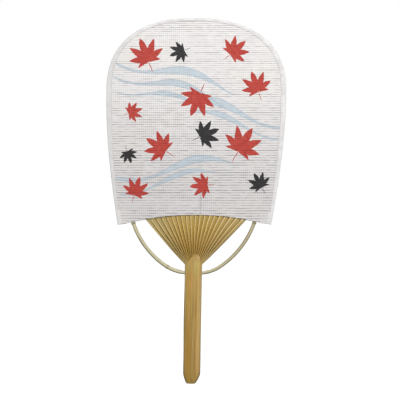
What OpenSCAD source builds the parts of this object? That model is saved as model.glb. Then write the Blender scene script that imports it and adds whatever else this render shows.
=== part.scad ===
// Flat-handled uchiwa fan: handle, ribs and bow of bamboo, covered with woven cloth.
// The printed front faces -Y, the handle runs down -Z, and the origin is the middle of the grip.
// Heights are measured from the butt, the lower end of the handle.

/* [Overall] */
// Height of the top of the face above the butt
overall_l = 465; // [440:1:490]
// Height of the middle of the grip above the butt
grip_h = 75; // [60:1:90]
// Height of the face's lower corners above the ledge where the ribs begin
neck_h = 50; // [47:1:53]

/* [Face] */
// Greatest width of the face
face_w = 228; // [210:1:245]
// Height of the face from its lower corners to its top
face_h = 263; // [245:1:280]
// Width across the lower corners
foot_w = 194; // [185:1:205]
// Height of the rounded top, down to the widest place
crown_h = 92; // [75:1:110]
// Squareness of the rounded top, where 2 is an ellipse
crown_power = 2.35; // [2:0.05:3]
// Height of the straight stretch below the rounded top
side_h = 13; // [0:1:30]
// How late the sides draw in towards the lower corners
side_power = 1.7; // [1.2:0.1:2.5]
// How far the middle of the lower edge stands above the corners
hem_rise = 13; // [6:1:18]
// How far the top of that arch lies to the right of the middle
hem_shift = 6; // [-8:0.5:8]

/* [Cloth] */
// Thickness of each cloth
cloth_t = 0.4; // [0.2:0.05:0.6]

/* [Rim] */
// Thickness of the binding strip
binding_t = 0.3; // [0.2:0.05:0.5]
// Width of the binding at the sides
binding_w = 6.5; // [4:0.5:9]
// Width of the binding at the top
binding_top_w = 3.8; // [2:0.1:6]
// Width of the binding at the lower corners
binding_foot_w = 3.8; // [2:0.1:6]
// Thickness of the patch over each lower corner
ear_t = 0.3; // [0.2:0.05:0.5]
// Width of that patch
ear_w = 16; // [12:1:18]
// Height of that patch
ear_h = 17; // [12:1:24]

/* [Handle] */
// Width of the handle
handle_w = 22; // [20:0.5:25]
// Thickness of the handle
handle_t = 8; // [7:0.5:10]
// How far the front swells in its middle
front_crown = 1.2; // [0.6:0.1:2]
// Radius along the long edges
edge_r = 1; // [0.5:0.1:1.6]
// Length of the whittled end
butt_l = 14.5; // [8:0.5:22]
// Width of the end face
butt_w = 10; // [6:0.5:12]
// Thickness of the end face
butt_t = 5; // [4:0.5:6.5]
// How far the tongue in front of the ribs rises over the ledge
tongue_h = 13; // [8:0.5:18]
// Width of the tongue at its tip
tongue_tip_w = 2.6; // [1:0.2:5]
// Thickness of the tongue at its tip
tongue_tip_t = 0.7; // [0.4:0.1:1.2]
// How far below the ledge the tongue's slope begins
tongue_shave = 3; // [0:0.5:8]
// How far the tip of the tongue lies to the right of the middle
tongue_lean = 2; // [-3:0.5:3]
// How far the bamboo's node stands out of the back
node_rise = 0.4; // [0.2:0.1:0.8]
// Distance of the node below the ledge
node_drop = 4; // [3:0.5:6]

/* [Ribs] */
// Number of ribs
rib_count = 20; // [17:1:22]
// Angle over which the ribs fan out
fan_angle = 86; // [82:0.5:88]
// How far the whole fan of ribs leans to the right
fan_lean = 0.7; // [-1.5:0.1:1.5]
// Width of a rib, which is its depth where it leaves the handle
rib_w = 6; // [5:0.1:6.4]
// Thickness of a rib where it leaves the handle
rib_t = 0.9; // [0.7:0.05:0.95]
// Thickness of a rib between the cloths
rib_thin_t = 0.7; // [0.5:0.05:0.8]
// Width of a rib at its tip
rib_tip_w = 2.8; // [2:0.1:3.2]
// Room for each outermost rib as a share of the room for each of the others
edge_share = 0.65; // [0.55:0.05:1]
// Bevel along the edges of a rib
rib_bevel = 0.15; // [0.05:0.05:0.2]
// Gap between two ribs at the cloths' lower edge
rib_gap = 0.6; // [0.55:0.05:1]
// How far a rib has turned where it still overlaps the next one
lap_a = 78; // [70:1:79]
// Length over which a rib turns on from there until it lies flat
lie_l = 6; // [5:0.5:10]
// Length of rib that already lies flat below the cloths' lower edge
lie_drop = 2.6; // [2.4:0.1:4]
// Gap between the roots of two ribs
root_gap = 0.1; // [0.06:0.02:0.2]
// How far the roots lie behind the middle of the face
root_back = 0.6; // [0:0.1:1]
// Gap between the roots and the tongue
tongue_gap = 0.15; // [0.15:0.05:0.3]
// Distance from a rib's tip to the edge of the face
tip_inset = 3; // [2:0.5:6]

/* [Bow] */
// Diameter of the bow
bow_d = 4; // [3.4:0.1:4.4]
// Distance of the middle of the bow's hole below the ledge
hole_drop = 10.5; // [9:0.5:14]
// Play of the bow where its curve touches the hole
hole_play = 0.12; // [0.1:0.02:0.3]
// Radius of the bow's middle arc
bow_mid_r = 63.5; // [58:0.5:68]
// Angle that the middle arc covers on each side
bow_mid_a = 35; // [30:1:40]
// Radius of the bow's end arcs
bow_end_r = 108; // [100:1:118]
// Length of bow between the cloths, above their lower edge
bow_tuck = 9; // [6:0.5:10]
// Length over which the bow is shaved flat below the cloths
scarf_l = 14; // [8:1:20]
// Length of the flat end below the cloths, where the thread is wound
flat_l = 4.4; // [4:0.2:6]
// Diameter of the knuckle on the bow's left side
knuckle_d = 4.7; // [4.5:0.1:5.2]
// Angle of the knuckle from the bow's lowest point
knuckle_a = 31; // [24:1:34]

/* [Thread] */
// Diameter of the lacing thread
thread_d = 0.45; // [0.35:0.05:0.5]
// Gap between the thread and the cloths' lower edge
thread_drop = 0.1; // [0.05:0.05:0.4]
// Gap between the thread and the ribs
thread_gap = 0.05; // [0.03:0.01:0.1]
// How far the thread runs on past a rib's edge before it crosses over
lace_run = 0.27; // [0.25:0.01:0.3]
// Turns of thread round each end of the bow
wind_turns = 3; // [1:1:3]
// Distance between two turns
wind_pitch = 0.95; // [0.9:0.05:1.1]
// Gap between the turns and the end of the bow
wind_gap = 0.15; // [0.1:0.05:0.3]

/* [Hidden] */
bamboo = [0.69, 0.56, 0.34];
bamboo_pale = [0.74, 0.62, 0.40];
bamboo_grey = [0.69, 0.62, 0.50];
cloth_white = [0.85, 0.84, 0.83];
strip_white = [0.90, 0.90, 0.89];
thread_brown = [0.42, 0.34, 0.24];

big = 600;
crown_steps = 14;
side_steps = 9;
section_steps = 10;
edge_steps = 4;
butt_steps = 5;
tongue_steps = 7;
twist_steps = 12;
lie_steps = 3;
arc_steps = 16;
bow_sides = 16;
knuckle_half_a = 1.5;
thread_sides = 6;
turn_steps = 24;
round_fn = 128;

// Powers that shape the whittled butt, the two edges of the tongue and the turns of thread
butt_power = 1.5;
tongue_left_power = 0.88;
tongue_right_power = 1.4;
wind_power = 0.5;

// Radius of the node's swelling across the back
node_r = 5;

// The layers from the middle of the face outwards
cloth_in = rib_thin_t / 2;
cloth_out = cloth_in + cloth_t;
binding_out = cloth_out + binding_t;
ear_out = binding_out + ear_t;

// The face in front view, where crown_z is the height of its widest place
top_z = overall_l - grip_h;
crown_z = top_z - crown_h;
side_z = crown_z - side_h;
foot_z = top_z - face_h;
hem_r = (pow(foot_w / 2, 2) + pow(hem_rise, 2)) / (2 * hem_rise);
hem_z = foot_z + hem_rise - hem_r;
hem_c = [hem_shift, hem_z];

// The handle, whose back is flush with the backs of the rib roots
butt_z = -grip_h;
split_z = foot_z - neck_h;
back_y = root_back + rib_w / 2;
front_y = back_y - handle_t;
handle_y = (back_y + front_y) / 2;
tongue_back_y = root_back - rib_w / 2 - tongue_gap;

// The ribs
rib_step = fan_angle / (rib_count - 2 + 2 * edge_share);
root_pitch = handle_w / rib_count;
edge_place = rib_count / 2 - 1 + edge_share / 2;

// The bow, whose lowest point lies below the middle of its hole by half of its rise inside the handle
bow_r = bow_d / 2;
bow_rise = bow_mid_r - sqrt(pow(bow_mid_r, 2) - pow(handle_w / 2, 2));
hole_r = bow_r + bow_rise / 2 + hole_play;
hole_z = split_z - hole_drop;
bow_z = hole_z - bow_rise / 2;
mid_c = [0, bow_z + bow_mid_r];
end_c = mid_c + (bow_end_r - bow_mid_r) * [-sin(bow_mid_a), cos(bow_mid_a)];

// The thread
thread_r = thread_d / 2;
lace_r = hem_r - thread_drop - thread_r;
lace_y = cloth_in + thread_gap + thread_r;
wind_half_w = bow_r + wind_gap + thread_r;
wind_half_t = cloth_in + wind_gap + thread_r;

function rib_name(i) = str("rib_", i < 10 ? "0" : "", i);
function arc_angle(length, radius) = length / radius * 180 / PI;
function unit(v) = v / norm(v);

// Evenly spaced values from one up to the next, which is left out
function steps(from, to, n) = [for (k = [0:n - 1]) from + (to - from) * k / n];

function signed_power(v, p) = sign(v) * pow(abs(v), p);

// An outline in front view from its right half, which starts in the middle
function mirrored(half) = concat(half, [for (k = [len(half) - 1:-1:1]) [-half[k].x, half[k].y]]);

// The crossing of two circles that lies furthest to the right
function circles_meet(c1, r1, c2, r2) =
    let (
        d = norm(c2 - c1),
        along = (d * d + r1 * r1 - r2 * r2) / (2 * d),
        across = sqrt(r1 * r1 - along * along),
        u = (c2 - c1) / d
    )
    c1 + along * u + across * [-u.y, u.x];

// Half of the face's width at height z, drawn in by the given amounts
function side_x(z, side_in, foot_in) =
    let (
        w = face_w / 2 - side_in,
        f = foot_w / 2 - foot_in,
        u = max(0, side_z - z) / (side_z - foot_z)
    )
    w - (w - f) * pow(u, side_power);

// The right half of the face's outline from the top down, whose last step runs on past the lower corner
function half_outline(side_in, top_in, foot_in) = concat(
    [for (k = [0:crown_steps])
        let (a = 90 - 90 * k / crown_steps)
        [
            (face_w / 2 - side_in) * pow(cos(a), 2 / crown_power),
            crown_z + (crown_h - top_in) * pow(sin(a), 2 / crown_power)
        ]
    ],
    [for (k = [0:side_steps])
        let (z = side_z + (foot_z - side_z) * k / (side_steps - 0.5))
        [side_x(z, side_in, foot_in), z]
    ]
);

// Whether a point of the front view lies inside the outline drawn in by one amount
function in_face(p, inset) =
    p.y < crown_z
        ? abs(p.x) < side_x(p.y, inset, inset)
        : pow(abs(p.x) / (face_w / 2 - inset), crown_power)
            + pow((p.y - crown_z) / (crown_h - inset), crown_power) < 1;

// The face's shape in front view, running on past the arched lower edge
module face_shape(side_in, top_in, foot_in) {
    polygon(mirrored(half_outline(side_in, top_in, foot_in)));
}

// Cuts a piece of the face along the arched lower edge
module cut_at_hem() {
    difference() {
        children();
        translate([hem_c.x, 0, hem_c.y])
            rotate([90, 0, 0])
                cylinder(r = hem_r, h = handle_t, center = true, $fn = 2 * round_fn);
    }
}

// Stands a shape of the front view upright, from y0 back to y1
module upright(y0, y1) {
    translate([0, y1, 0])
        rotate([90, 0, 0])
            linear_extrude(y1 - y0)
                children();
}

// Handle

// The handle seen from above: flat back, swelling front, rounded edges
module handle_section() {
    half = handle_w / 2;
    crown_r = (pow(half - edge_r, 2) + pow(front_crown, 2)) / (2 * front_crown);
    crown_a = asin((half - edge_r) / crown_r);
    polygon(concat(
        [for (k = [0:section_steps])
            let (a = crown_a * (2 * k / section_steps - 1))
            [crown_r * sin(a), front_y + crown_r * (1 - cos(a))]
        ],
        [for (k = [1:edge_steps])
            let (a = 90 * k / edge_steps - 90)
            [half - edge_r + edge_r * cos(a), front_y + front_crown + edge_r * (1 + sin(a))]
        ],
        [for (side = [1, -1], k = [0:edge_steps])
            let (a = 90 * (side > 0 ? k : k + edge_steps) / edge_steps)
            [side * (half - edge_r) + edge_r * cos(a), back_y - edge_r + edge_r * sin(a)]
        ],
        [for (k = [edge_steps:-1:1])
            let (a = 90 * k / edge_steps - 90)
            [-(half - edge_r + edge_r * cos(a)), front_y + front_crown + edge_r * (1 + sin(a))]
        ]
    ));
}

// Half of the handle's width at the tongue's height share u, where side is 1 on the right
function tongue_x(side, u) =
    let (
        power = side > 0 ? tongue_right_power : tongue_left_power,
        half = tongue_tip_w / 2 + (handle_w - tongue_tip_w) / 2 * pow(1 - u, power)
    )
    side * half + tongue_lean * u;

// One edge of the handle in front view, from the butt to the tip of the tongue
function handle_edge(side) = concat(
    [for (k = [0:butt_steps])
        let (u = 1 - k / butt_steps)
        [side * (handle_w - (handle_w - butt_w) * pow(u, butt_power)) / 2, butt_z + butt_l * (1 - u)]
    ],
    [for (k = [0:tongue_steps])
        let (u = k / tongue_steps)
        [tongue_x(side, u), split_z + tongue_h * u]
    ]
);

module handle_outline() {
    left = handle_edge(-1);
    polygon(concat(handle_edge(1), [for (k = [len(left) - 1:-1:0]) left[k]]));
}

// The whittled butt seen from the side, down from full thickness at its top to the end face
function butt_side(y, trim) = [for (k = [0:butt_steps])
    let (u = k / butt_steps)
    [y + trim * pow(u, butt_power), butt_z + butt_l * (1 - u)]
];

// The handle seen from the side: whittled butt, full thickness, and the tongue shaved thin
module handle_profile() {
    trim = (handle_t - butt_t) / 2;
    back = butt_side(back_y, -trim);
    polygon(concat(
        [
            [back_y, split_z],
            [tongue_back_y, split_z],
            [tongue_back_y, split_z + tongue_h],
            [tongue_back_y - tongue_tip_t, split_z + tongue_h],
            [front_y, split_z - tongue_shave]
        ],
        butt_side(front_y, trim),
        [for (k = [butt_steps:-1:0]) back[k]]
    ));
}

// The bamboo's node across the back, a low swelling that stops the splits
module node_ridge() {
    intersection() {
        translate([0, back_y + node_rise - node_r, split_z - node_drop])
            rotate([0, 90, 0])
                cylinder(r = node_r, h = handle_w - 2 * edge_r, center = true, $fn = round_fn);
        translate([-handle_w / 2, back_y - edge_r, split_z - node_drop - node_r])
            cube([handle_w, edge_r + node_rise, 2 * node_r]);
    }
}

module handle() {
    color(bamboo)
        difference() {
            union() {
                intersection() {
                    translate([0, 0, butt_z])
                        linear_extrude(split_z + tongue_h - butt_z)
                            handle_section();
                    upright(front_y - edge_r, back_y + edge_r)
                        handle_outline();
                    rotate([90, 0, 90])
                        linear_extrude(2 * handle_w, center = true)
                            handle_profile();
                }
                node_ridge();
            }
            translate([0, handle_y, hole_z])
                rotate([0, 90, 0])
                    cylinder(r = hole_r, h = 2 * handle_w, center = true, $fn = round_fn);
        }
}

// Ribs

// Place of rib i counted from the middle, and in steps of angle, where the outermost ones stand closer in
function rib_place(i) = i - (rib_count + 1) / 2;
function rib_steps(i) = max(-edge_place, min(edge_place, rib_place(i)));

// Angle of rib i from the upright, and the middle of its root on the ledge
function rib_a(i) = fan_lean + rib_steps(i) * rib_step;
function rib_root(i) = [rib_place(i) * root_pitch, split_z];
function rib_dir(i) = [sin(rib_a(i)), cos(rib_a(i))];

// Distance between neighbouring ribs, a length l up from their roots
function rib_spacing(i, l) = root_pitch * cos(rib_a(i)) + l * sin(rib_step);

// Length of rib i, found by halving the stretch that its tip lies in
function rib_length(i, low = 0, high = big, n = 20) =
    n == 0
        ? low
        : let (mid = (low + high) / 2)
            in_face(rib_root(i) + mid * rib_dir(i), tip_inset)
                ? rib_length(i, mid, high, n - 1)
                : rib_length(i, low, mid, n - 1);

// Length along rib i from its root to a circle round the hem's centre
function length_to_arc(i, radius) =
    let (
        from = rib_root(i) - hem_c,
        b = from * rib_dir(i)
    )
    sqrt(b * b - from * from + radius * radius) - b;

// Lengths at which rib i reaches the cloths, lies flat and stops overlapping the next one
function hem_length(i) = length_to_arc(i, hem_r);
function flat_length(i) = hem_length(i) - lie_drop;
function lap_length(i) = flat_length(i) - lie_l;

// A rib keeps its width, or is pared down until it clears the next one at the cloths
function edge_room(i) = abs(rib_place(i)) > edge_place ? edge_share : 1;
function hem_width(i) = min(rib_w, rib_spacing(i, hem_length(i)) * edge_room(i) - rib_gap);
function rib_width(i, l) = rib_w + (hem_width(i) - rib_w) * min(1, l / lap_length(i));
function rib_thickness(i, l) =
    min(rib_t + (rib_thin_t - rib_t) * min(1, l / flat_length(i)), rib_spacing(i, l) - root_gap);

// Turn of rib i at length l, from edge-on at the root to flat just below the cloths
function rib_turn(i, l) =
    let (past = max(0, l - lap_length(i)) / lie_l)
    min(l / lap_length(i), 1) * lap_a + min(past, 1) * (90 - lap_a);

// Eight corners of a rib's section, with its width along x and its thickness along y
function rib_section(w, t) =
    let (
        a = w / 2,
        b = t / 2,
        c = rib_bevel
    )
    [[a, c - b], [a, b - c], [a - c, b], [c - a, b], [-a, b - c], [-a, c - b], [c - a, -b], [a - c, -b]];

// A ring round the point of rib i at length l; the root's ring lies on the ledge
function rib_ring(i, l, w, t, turn) =
    let (
        dir = rib_dir(i),
        side = [dir.y, -dir.x]
    )
    [for (p = rib_section(w, t))
        let (
            across = p.x * sin(turn) + p.y * cos(turn),
            back = p.x * cos(turn) - p.y * sin(turn),
            slide = l == 0 ? across * tan(rib_a(i)) : 0,
            q = rib_root(i) + (l + slide) * dir + across * side
        )
        [q.x, root_back * max(0, 1 - l / flat_length(i)) + back, q.y]
    ];

// Triangles over a stack of rings that all run the same way round
function tube_faces(rings, sides) = concat(
    [for (r = [0:rings - 2], s = [0:sides - 1], half = [0, 1])
        let (
            a = r * sides + s,
            b = r * sides + (s + 1) % sides
        )
        half == 0 ? [a, b, b + sides] : [a, b + sides, a + sides]
    ],
    [for (s = [1:sides - 2]) [0, s + 1, s]],
    [for (s = [1:sides - 2]) (rings - 1) * sides * [1, 1, 1] + [0, s, s + 1]]
);

module rib(i) {
    lengths = concat(
        steps(0, lap_length(i), twist_steps),
        steps(lap_length(i), flat_length(i), lie_steps),
        [flat_length(i), hem_length(i)]
    );
    rings = concat(
        [for (l = lengths) rib_ring(i, l, rib_width(i, l), rib_thickness(i, l), rib_turn(i, l))],
        [rib_ring(i, rib_length(i), rib_tip_w, rib_thin_t, 90)]
    );
    color(i % 2 == 0 ? bamboo : bamboo_pale)
        polyhedron(
            points = [for (ring = rings, p = ring) p],
            faces = tube_faces(len(rings), len(rings[0]))
        );
}

// Bow

// Angles are counted from straight down: the middle arc, then a flatter arc at each end
function bow_point(a) =
    let (
        c = abs(a) <= bow_mid_a ? mid_c : [sign(a) * end_c.x, end_c.y],
        r = abs(a) <= bow_mid_a ? bow_mid_r : bow_end_r
    )
    c + r * [sin(a), -cos(a)];

// Where the bow meets the cloths' lower edge; side is 1 on the right, and the left is given mirrored
function hem_cross(side) = circles_meet(end_c, bow_end_r, [side * hem_c.x, hem_c.y], hem_r);
function hem_a(side) =
    let (p = hem_cross(side) - end_c)
    atan2(p.x, -p.y);
function tip_a(side) = hem_a(side) + arc_angle(bow_tuck, bow_end_r);

// The bow leans from the middle of the handle to the middle of the face
function bow_y(z, side) = handle_y * (hem_cross(side).y - z) / (hem_cross(side).y - bow_z);

// Half of the thickness left at height z, where the ends are shaved flat to lie between the cloths
function bow_half_t(z, side) = cloth_in + max(0, hem_cross(side).y - flat_l - z) * bow_r / scarf_l;

// A ring of the bow, thicker at the knuckle
function bow_ring(a) =
    let (
        c = bow_point(a),
        side = a < 0 ? -1 : 1,
        r = a == -knuckle_a ? knuckle_d / 2 : bow_r,
        limit = bow_half_t(c.y, side)
    )
    [for (s = [0:bow_sides - 1])
        let (
            t = -360 * s / bow_sides,
            q = c + r * cos(t) * [sin(a), -cos(a)],
            y = bow_y(c.y, side) + r * sin(t)
        )
        [q.x, max(-limit, min(limit, y)), q.y]
    ];

module bow() {
    angles = concat(
        steps(-tip_a(-1), -bow_mid_a, arc_steps),
        [-bow_mid_a, -knuckle_a - knuckle_half_a, -knuckle_a],
        steps(knuckle_half_a - knuckle_a, bow_mid_a, arc_steps),
        steps(bow_mid_a, tip_a(1), arc_steps),
        [tip_a(1)]
    );
    color(bamboo_grey)
        polyhedron(
            points = [for (a = angles, p = bow_ring(a)) p],
            faces = tube_faces(len(angles), bow_sides)
        );
}

// Thread

// How far below the hem the windings start, low enough to clear the cloths where the bow meets them aslant
function wind_start(side) =
    let (
        a = hem_a(side),
        up = unit(hem_cross(side) - [side * hem_c.x, hem_c.y]),
        skew = abs([sin(a), -cos(a)] * up)
    )
    (thread_drop + thread_r + wind_half_w * skew) / ([cos(a), sin(a)] * up);

// A point beside one end of the bow, a length s below the hem, turned by a round the bow
function wind_point(side, s, a) =
    let (
        at_a = hem_a(side) - arc_angle(s, bow_end_r),
        out = [sin(at_a), -cos(at_a)],
        across = wind_half_w * signed_power(cos(a), wind_power),
        q = end_c + (bow_end_r + across) * out
    )
    [side * q.x, wind_half_t * signed_power(sin(a), wind_power), q.y];

// The windings on one end of the bow, starting from its inner side
function winding(side) = [for (k = [0:wind_turns * turn_steps])
    wind_point(side, wind_start(side) + wind_pitch * k / turn_steps, 180 + 360 * k / turn_steps)
];
left_wind = winding(-1);
right_wind = winding(1);

// The point of the lacing arc at horizontal place x, pushed back by y
function lace_point(x, y) = [x, y, hem_c.y + sqrt(lace_r * lace_r - pow(x - hem_c.x, 2))];
function lace_x(i) = (rib_root(i) + length_to_arc(i, lace_r) * rib_dir(i)).x;
function lace_side(i) = i % 2 == 0 ? 1 : -1;

function lace_end(i, side) = lace_x(i) + side * (hem_width(i) / 2 + lace_run) / cos(rib_a(i));

// Over one rib and under the next, crossing in the middle of each gap
lacing = [for (i = [1:rib_count], k = [-1, 1, 2])
    if (k < 2)
        lace_point(lace_end(i, k), lace_side(i) * lace_y)
    else if (i < rib_count)
        lace_point((lace_end(i, 1) + lace_end(i + 1, -1)) / 2, 0)
];

thread_path = concat(
    [for (k = [len(left_wind) - 1:-1:0]) left_wind[k]],
    lacing,
    right_wind
);

// A ring round point k of a path that never runs straight up
function thread_ring(path, k) =
    let (
        along = unit(path[min(k + 1, len(path) - 1)] - path[max(k - 1, 0)]),
        up = unit([0, 0, 1] - along.z * along),
        side = cross(up, along)
    )
    [for (s = [0:thread_sides - 1])
        let (a = 360 * s / thread_sides)
        path[k] + thread_r * (cos(a) * up + sin(a) * side)
    ];

module lacing_thread() {
    color(thread_brown)
        polyhedron(
            points = [for (k = [0:len(thread_path) - 1], p = thread_ring(thread_path, k)) p],
            faces = tube_faces(len(thread_path), thread_sides)
        );
}

// Half a turn or more apart, the windings' least distance less the thread's own width
least_gap = min([for (j = [0:len(right_wind) - 1], k = [j + turn_steps / 2:len(right_wind) - 1])
    norm(right_wind[j] - right_wind[k])
]) - thread_d;
echo(least_gap_of_thread_to_itself = least_gap);

// Cloths and rim

module front_cloth() {
    color(cloth_white)
        cut_at_hem()
            upright(-cloth_out, -cloth_in)
                face_shape(binding_t, binding_t, binding_t);
}

module back_cloth() {
    color(cloth_white)
        cut_at_hem()
            upright(cloth_in, cloth_out)
                face_shape(binding_t, binding_t, binding_t);
}

// The space of both cloths and of what lies between them
module cloth_space() {
    upright(-cloth_out, cloth_out)
        face_shape(binding_t, binding_t, binding_t);
}

// The rim as far in as the binding reaches, through the whole thickness
module rim_space() {
    upright(-binding_out, binding_out)
        difference() {
            face_shape(0, 0, 0);
            face_shape(binding_w, binding_top_w, binding_foot_w);
        }
}

// A strip folded over the edge of both cloths, from one lower corner round the top to the other
module rim_binding() {
    color(strip_white)
        cut_at_hem()
            difference() {
                rim_space();
                cloth_space();
            }
}

// A patch folded over a lower corner, on top of the binding; side is 1 on the right and -1 on the left
module ear(side) {
    inner_x = foot_w / 2 - ear_w;
    color(strip_white)
        cut_at_hem()
            difference() {
                upright(-ear_out, ear_out)
                    intersection() {
                        face_shape(-ear_t, -ear_t, -ear_t);
                        translate([side > 0 ? inner_x : -inner_x - face_w, foot_z - big])
                            square([face_w, big + ear_h]);
                    }
                rim_space();
                cloth_space();
            }
}

module left_ear() {
    ear(-1);
}

module right_ear() {
    ear(1);
}

handle();
bow();
for (i = [1:rib_count])
    rib(i);
lacing_thread();
front_cloth();
back_cloth();
rim_binding();
left_ear();
right_ear();
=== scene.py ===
"""Looks of a flat-handled uchiwa fan: split bamboo, laced thread and woven cloth on the part's frame.

Sizes are in millimetres, which make_piece turns into metres. Camera, stage and lamps are placed in metres.
"""

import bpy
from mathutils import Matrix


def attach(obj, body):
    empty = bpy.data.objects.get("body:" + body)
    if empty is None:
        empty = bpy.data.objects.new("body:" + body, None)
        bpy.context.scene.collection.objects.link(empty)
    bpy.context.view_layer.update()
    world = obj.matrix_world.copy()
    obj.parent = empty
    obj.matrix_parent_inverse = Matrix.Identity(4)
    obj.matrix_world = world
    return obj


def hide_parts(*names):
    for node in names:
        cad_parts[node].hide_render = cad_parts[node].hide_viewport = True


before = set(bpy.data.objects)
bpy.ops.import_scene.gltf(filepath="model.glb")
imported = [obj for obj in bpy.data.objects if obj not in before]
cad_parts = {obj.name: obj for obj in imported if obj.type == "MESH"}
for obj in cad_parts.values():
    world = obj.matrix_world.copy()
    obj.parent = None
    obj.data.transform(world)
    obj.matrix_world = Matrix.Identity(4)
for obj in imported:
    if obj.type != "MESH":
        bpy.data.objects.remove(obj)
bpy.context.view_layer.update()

from functools import partialmethod
from math import atan2, ceil, copysign, cos, exp, pi, radians, sin, sqrt, tan

import bmesh
import bpy
import numpy as np
from mathutils import Matrix, Vector

MM = 0.001
RNG_SEED = 7

# Sizes of the part, which its source names in the same way
GRIP_H, OVERALL_L, NECK_H = 75, 465, 50
FACE_W, FACE_H, FOOT_W = 228, 263, 194
CROWN_H, CROWN_POWER = 92, 2.35
SIDE_H, SIDE_POWER = 13, 1.7
HEM_RISE, HEM_SHIFT = 13, 6
CLOTH_T, BINDING_T, EAR_T = 0.4, 0.3, 0.3
BINDING_WIDTHS = BINDING_W, BINDING_TOP_W, BINDING_FOOT_W = 6.5, 3.8, 3.8
EAR_W, EAR_H = 16, 17
HANDLE_W, HANDLE_T, FRONT_CROWN, EDGE_R = 22, 8, 1.2, 1
BUTT_L, BUTT_T, BUTT_POWER = 14.5, 5, 1.5
TONGUE_H, TONGUE_TIP_W, TONGUE_TIP_T = 13, 6.6, 0.7
TONGUE_SHAVE, TONGUE_LEAN = 3, 3.6
TONGUE_LEFT_POWER, TONGUE_RIGHT_POWER = 1.1, 1.14
NODE_RISE, NODE_DROP, NODE_R = 0.4, 4, 5
RIB_COUNT, FAN_ANGLE, FAN_LEAN = 20, 86, 0.7
RIB_W, RIB_THIN_T, RIB_TIP_W = 6, 0.7, 2.8
RIB_GAP, EDGE_SHARE, LAP_A = 0.6, 0.65, 78
ROOT_BACK, TONGUE_GAP, TIP_INSET = 0.6, 0.15, 3
BOW_D, HOLE_DROP, HOLE_PLAY = 4, 10.5, 0.12
BOW_MID_R, BOW_MID_A, BOW_END_R = 63.5, 35, 108
BOW_TUCK, SCARF_L, FLAT_L = 9, 14, 4.4
KNUCKLE_D, KNUCKLE_A = 4.7, 31
THREAD_D, THREAD_DROP, THREAD_GAP = 0.45, 0.1, 0.05
LACE_RUN, WIND_TURNS, WIND_PITCH, WIND_GAP, WIND_POWER = 0.27, 3, 0.95, 0.15, 0.5

# Layers from the middle of the face outwards
CLOTH_IN = RIB_THIN_T / 2
CLOTH_OUT = CLOTH_IN + CLOTH_T
BINDING_OUT = CLOTH_OUT + BINDING_T

# Places in the shared frame
BUTT_Z = -GRIP_H
TOP_Z = OVERALL_L - GRIP_H
CROWN_Z = TOP_Z - CROWN_H
SIDE_Z = CROWN_Z - SIDE_H
FOOT_Z = TOP_Z - FACE_H
HEM_R = ((FOOT_W / 2) ** 2 + HEM_RISE ** 2) / (2 * HEM_RISE)
HEM_C = np.array([HEM_SHIFT, FOOT_Z + HEM_RISE - HEM_R])
SPLIT_Z = FOOT_Z - NECK_H
BACK_Y = ROOT_BACK + RIB_W / 2
FRONT_Y = BACK_Y - HANDLE_T
HANDLE_Y = (BACK_Y + FRONT_Y) / 2
TONGUE_BACK_Y = ROOT_BACK - RIB_W / 2 - TONGUE_GAP

# The fan of ribs
RIB_STEP = radians(FAN_ANGLE / (RIB_COUNT - 2 + 2 * EDGE_SHARE))
ROOT_PITCH = HANDLE_W / RIB_COUNT
EDGE_PLACE = RIB_COUNT / 2 - 1 + EDGE_SHARE / 2
MIDDLE_RIB = (RIB_COUNT + 1) / 2
RIBS = range(1, RIB_COUNT + 1)

# The camera stands level in front of the fan and leans a little
CAMERA_LENS, CAMERA_SENSOR = 120, 36
CAMERA_AT, CAMERA_BACK = (0.0069, 0, 0.159), 1.693
CAMERA_ROLL = radians(0.93)


def srgb(r, g, b):
    """A colour given as 0 to 255 in sRGB, as linear RGBA."""
    channels = [c / 255 for c in (r, g, b)]
    return tuple(c / 12.92 if c <= 0.04045 else ((c + 0.055) / 1.055) ** 2.4 for c in channels) + (1,)


def smooth(low, high, v):
    """A soft step from 0 at low to 1 at high."""
    t = np.clip((v - low) / (high - low), 0, 1)
    return t * t * (3 - 2 * t)


# Node helpers

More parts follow.
